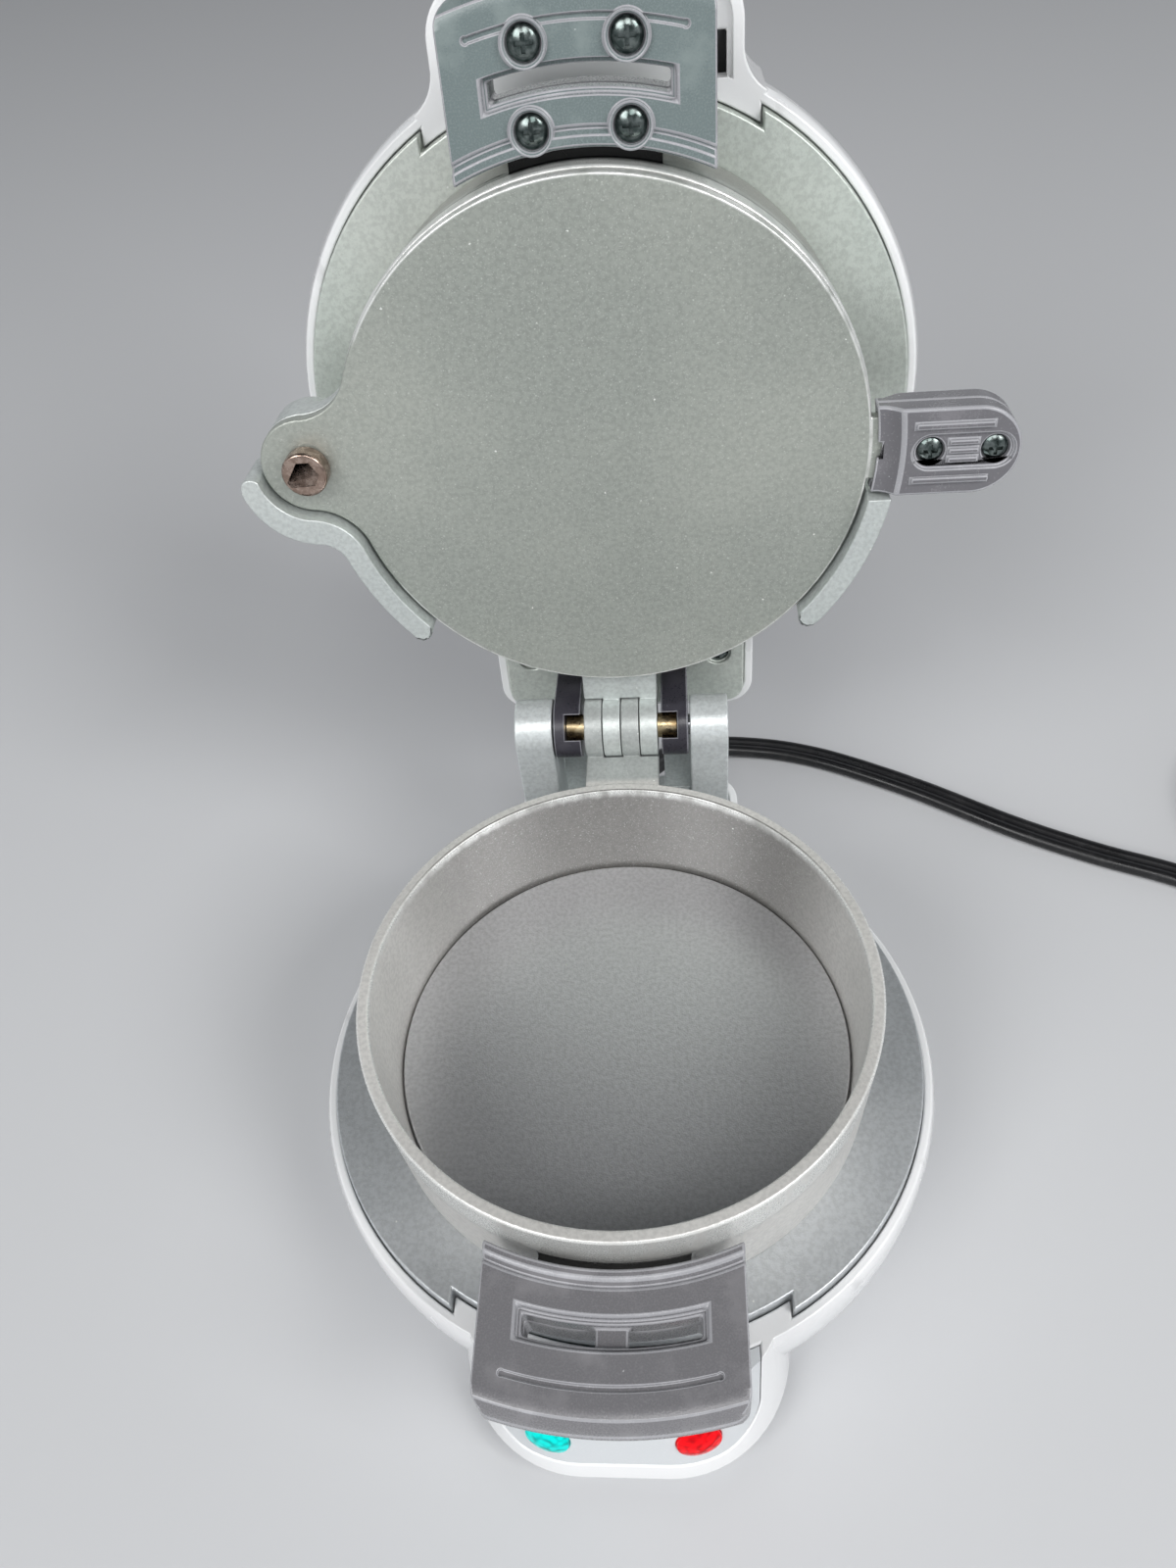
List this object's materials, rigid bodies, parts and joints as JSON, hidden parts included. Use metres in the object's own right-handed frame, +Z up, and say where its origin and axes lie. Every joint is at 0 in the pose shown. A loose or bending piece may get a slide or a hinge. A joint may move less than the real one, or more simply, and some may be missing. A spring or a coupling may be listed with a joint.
{
  "type": "breakfast sandwich maker",
  "caption": "Countertop sandwich cooker with hinged cover, two stacked cooking rings, a swing-out plate between them, black handles, indicator lamps and a mains lead.",
  "frame": {"origin": "On the table, in the plane of the rubber feet, straight below the centre of the bottom cooking ring.", "axes": "+Z up; -Y towards the user, where the lamps and the ring handles are; +Y towards the hinge; +X to the user's right. The cover is stored open, as in the picture."},
  "size_m": [0.3278, 0.2471, 0.2737],
  "materials": {
    "silver_shell": "silver-white, satin gloss",
    "panel": "light silver grey, fine texture",
    "black_plastic": "black, finely textured",
    "rubber": "matt black",
    "nonstick": "cast aluminium with a dark grey-green speckled non-stick coating",
    "element_steel": "heat-tinted steel sheath",
    "bare_aluminium": "bright sheet",
    "bakelite": "dark brown moulded",
    "pale_plastic": "off-white moulded",
    "ceramic": "pale glazed tube",
    "wire_cover": "white sleeving",
    "teal_lens": "translucent, moulded with fine ribs",
    "red_lens": "translucent, moulded with fine ribs",
    "lamp_glass": "clear neon tube",
    "brass": "turned, slightly dulled",
    "steel": "zinc plated",
    "black_steel": "blackened",
    "bronze": "dark bronze plated",
    "cord_black": "black, slightly glossy",
    "blade_brass": "nickel plated"
  },
  "bodies": {
    "base": {"base_shell": "silver_shell", "bottom_cover": "black_plastic", "rubber_feet": "rubber", "bottom_screws": "steel", "lower_heating_plate": "nonstick", "lower_element": "element_steel", "lower_reflector": "bare_aluminium", "reflector_screws": "steel", "thermostat": "bakelite", "base_thermal_fuse": "ceramic", "terminal_block": "pale_plastic", "base_wires": "wire_cover", "nose_panel": "panel", "preheat_lens": "teal_lens", "power_lens": "red_lens", "neon_lamps": "lamp_glass", "lamp_holder": "pale_plastic", "cover_pins": "steel", "ring_pin": "brass", "bottom_ring": "nonstick", "bottom_handle_upper": "black_plastic", "bottom_handle_lower": "black_plastic", "bottom_handle_screws": "black_steel", "cord_strain_relief": "rubber", "power_cord": "cord_black", "cord_coil": "cord_black", "cord_tie": "cord_black", "plug_body": "cord_black", "plug_blades": "blade_brass"},
    "cover": {"cover_shell": "silver_shell", "upper_heating_plate": "nonstick", "upper_element": "element_steel", "upper_reflector": "bare_aluminium", "upper_reflector_screws": "steel", "cover_thermal_fuse": "ceramic", "cover_wires": "wire_cover", "cover_plate_screws": "steel", "hinge_arm_left": "black_plastic", "hinge_arm_right": "black_plastic", "hinge_arm_screws": "steel", "cover_grip_upper": "black_plastic", "cover_grip_lower": "black_plastic", "cover_grip_screws": "black_steel"},
    "top_ring_body": {"top_ring": "nonstick", "top_handle_upper": "black_plastic", "top_handle_lower": "black_plastic", "top_handle_screws": "black_steel", "pivot_screw": "bronze", "pivot_washer": "steel"},
    "plate_body": {"cooking_plate": "nonstick", "plate_handle_upper": "black_plastic", "plate_handle_lower": "black_plastic", "plate_handle_screws": "black_steel"}
  },
  "joints": [
    {"name": "cover_hinge", "type": "hinge", "parent": "base", "child": "cover", "pos_m": [0, 0.0696, 0.065], "axis": [1, 0, 0], "range_deg": [0, 98]},
    {"name": "top_ring_hinge", "type": "hinge", "parent": "base", "child": "top_ring_body", "pos_m": [0, 0.0696, 0.065], "axis": [1, 0, 0], "range_deg": [0, 98]},
    {"name": "plate_swivel", "type": "hinge", "parent": "top_ring_body", "child": "plate_body", "pos_m": [-0.06046, 0.07661, 0.13643], "axis": [0, -0.9903, 0.1392], "range_deg": [0, 105]}
  ],
  "couplings": [
    {"joint": "top_ring_hinge", "follows": "cover_hinge", "ratio": 1}
  ]
}
